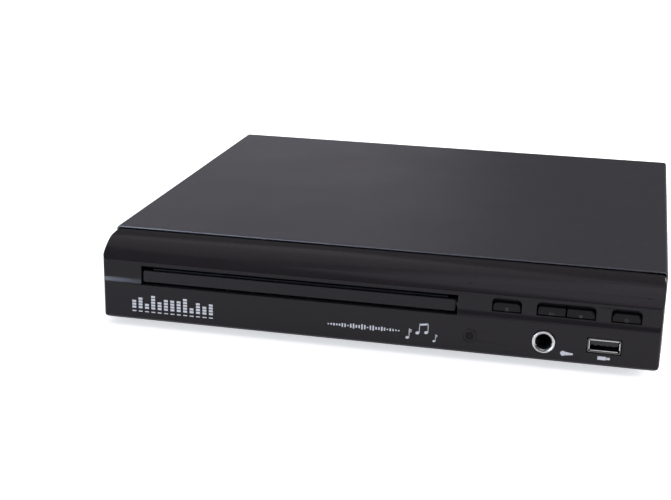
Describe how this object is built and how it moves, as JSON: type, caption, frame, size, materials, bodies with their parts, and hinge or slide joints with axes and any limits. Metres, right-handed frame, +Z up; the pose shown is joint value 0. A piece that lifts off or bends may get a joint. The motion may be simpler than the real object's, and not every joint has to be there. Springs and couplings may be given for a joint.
{
  "type": "karaoke disc player",
  "caption": "Flat disc player with a sliding disc tray, press buttons, microphone jack and square socket in a curved front.",
  "frame": {"origin": "middle of the footprint, on the plane that the feet stand on", "axes": "+X to the right seen from the front, +Y to the back, +Z up"},
  "size_m": [0.24, 0.2258, 0.0394],
  "materials": {
    "sheet_zinc": "plain zinc-coated folded sheet",
    "cover_black": "satin black powder paint, very fine grain",
    "bezel_black": "satin black moulded plastic",
    "button_black": "satin black moulded plastic",
    "door_black": "satin black moulded plastic",
    "tray_black": "dull black moulded plastic",
    "frame_plastic": "dull black moulded plastic",
    "gear_white": "natural acetal",
    "rubber": "dull black rubber",
    "chrome": "bright nickel plate",
    "steel": "plain drawn steel",
    "screw_black": "black oxide",
    "socket_black": "dull black insulator",
    "socket_white": "white insulator",
    "lens_dark": "dark tinted clear plastic",
    "board_green": "green solder mask",
    "board_tan": "tan paper board",
    "chip_black": "black moulded packages",
    "core_yellow": "yellow tape over ferrite",
    "can_blue": "printed sleeve",
    "fin_aluminium": "plain extruded fins",
    "ribbon_grey": "flat ribbon",
    "wire_red": "insulated wires",
    "lens_glass": "coated lens"
  },
  "bodies": {
    "chassis": {"base_chassis": "sheet_zinc", "top_cover": "cover_black", "rear_panel": "sheet_zinc", "front_bezel": "bezel_black", "cover_screws": "screw_black", "foot_front_left": "rubber", "foot_front_right": "rubber", "foot_rear_left": "rubber", "foot_rear_right": "rubber", "mic_jack_sleeve": "chrome", "mic_jack_body": "socket_black", "usb_shell": "chrome", "usb_tongue": "socket_black", "jack_board": "board_green", "window_lens": "lens_dark", "button_board": "board_green", "tact_switches": "chip_black", "loader_frame": "frame_plastic", "loader_screws": "steel", "clamper_bridge": "steel", "drive_belt": "rubber", "loading_motor": "steel", "main_board": "board_green", "main_chips": "chip_black", "power_board": "board_tan", "transformer": "core_yellow", "filter_capacitor": "can_blue", "heat_sink": "fin_aluminium", "front_ribbon": "ribbon_grey", "power_harness": "wire_red", "av_board": "board_green", "av_socket_block": "socket_black", "av_barrels": "chrome", "av_insulators": "socket_white", "mains_inlet": "socket_black", "inlet_pins": "chrome"},
    "tray": {"disc_tray": "tray_black", "tray_door": "door_black"},
    "button_1": {"button_1": "button_black"},
    "button_2": {"button_2": "button_black"},
    "button_3": {"button_3": "button_black"},
    "button_4": {"button_4": "button_black"},
    "tray_pinion": {"tray_pinion": "gear_white"},
    "pulley_gear": {"pulley_gear": "gear_white"},
    "motor_pulley": {"motor_pulley": "gear_white"},
    "clamper": {"clamper_puck": "frame_plastic"},
    "cam_slider": {"cam_slider": "gear_white"},
    "traverse": {"tilt_frame": "frame_plastic", "rubber_bushes": "rubber", "traverse_plate": "sheet_zinc", "guide_rod_left": "steel", "guide_rod_right": "steel", "spindle_motor": "steel", "feed_motor": "steel"},
    "turntable": {"turntable": "frame_plastic"},
    "pickup": {"pickup_sled": "frame_plastic", "pickup_lens": "lens_glass"},
    "feed_gear": {"feed_gear": "gear_white"},
    "feed_pinion": {"feed_pinion": "gear_white"}
  },
  "joints": [
    {"name": "tray_slide", "type": "slide", "parent": "chassis", "child": "tray", "axis": [0, -1, 0], "range_m": [0, 0.13]},
    {"name": "tray_pinion_spin", "type": "hinge", "parent": "chassis", "child": "tray_pinion", "pos_m": [0.0412, -0.07325, 0.016], "axis": [0, 0, 1], "range_deg": [-1, 932]},
    {"name": "pulley_gear_spin", "type": "hinge", "parent": "chassis", "child": "pulley_gear", "pos_m": [0.05701, -0.06218, 0.012], "axis": [0, 0, 1], "range_deg": [-2795, 1]},
    {"name": "motor_pulley_spin", "type": "hinge", "parent": "chassis", "child": "motor_pulley", "pos_m": [0.0836, -0.06687, 0.011], "axis": [0, 0, 1], "range_deg": [-8850, 1]},
    {"name": "traverse_tilt", "type": "hinge", "parent": "chassis", "child": "traverse", "pos_m": [-0.0321, 0.05475, 0.015], "axis": [1, 0, 0], "range_deg": [0, 3.2]},
    {"name": "cam_slide", "type": "slide", "parent": "chassis", "child": "cam_slider", "axis": [-1, 0, 0], "range_m": [0, 0.0161]},
    {"name": "pickup_slide", "type": "slide", "parent": "traverse", "child": "pickup", "axis": [0, 1, 0], "range_m": [0, 0.034]},
    {"name": "feed_gear_spin", "type": "hinge", "parent": "traverse", "child": "feed_gear", "pos_m": [0.0029, 0.00745, 0.015], "axis": [0, 0, 1], "range_deg": [-272, 1]},
    {"name": "feed_pinion_spin", "type": "hinge", "parent": "traverse", "child": "feed_pinion", "pos_m": [0.0029, 0.01775, 0.015], "axis": [0, 0, 1], "range_deg": [-1, 651]},
    {"name": "turntable_spin", "type": "hinge", "parent": "traverse", "child": "turntable", "pos_m": [-0.0321, -0.04215, 0.021], "axis": [0, 0, 1], "continuous": true},
    {"name": "clamper_spin", "type": "hinge", "parent": "chassis", "child": "clamper", "pos_m": [-0.0321, -0.04215, 0.028], "axis": [0, 0, 1], "continuous": true},
    {"name": "button_1_press", "type": "slide", "parent": "chassis", "child": "button_1", "axis": [0, 1, 0], "range_m": [0, 0.0005], "stiffness_N_per_m": 1500},
    {"name": "button_2_press", "type": "slide", "parent": "chassis", "child": "button_2", "axis": [0, 1, 0], "range_m": [0, 0.0005], "stiffness_N_per_m": 1500},
    {"name": "button_3_press", "type": "slide", "parent": "chassis", "child": "button_3", "axis": [0, 1, 0], "range_m": [0, 0.0005], "stiffness_N_per_m": 1500},
    {"name": "button_4_press", "type": "slide", "parent": "chassis", "child": "button_4", "axis": [0, 1, 0], "range_m": [0, 0.0005], "stiffness_N_per_m": 1500}
  ],
  "couplings": [
    {"joint": "tray_pinion_spin", "follows": "tray_slide", "rad_per_m": 125},
    {"joint": "pulley_gear_spin", "follows": "tray_slide", "rad_per_m": -375},
    {"joint": "motor_pulley_spin", "follows": "tray_slide", "rad_per_m": -1185.3},
    {"joint": "cam_slide", "follows": "traverse_tilt", "m_per_rad": 0.28648},
    {"joint": "feed_gear_spin", "follows": "pickup_slide", "rad_per_m": -138.89},
    {"joint": "feed_pinion_spin", "follows": "pickup_slide", "rad_per_m": 333.33}
  ]
}
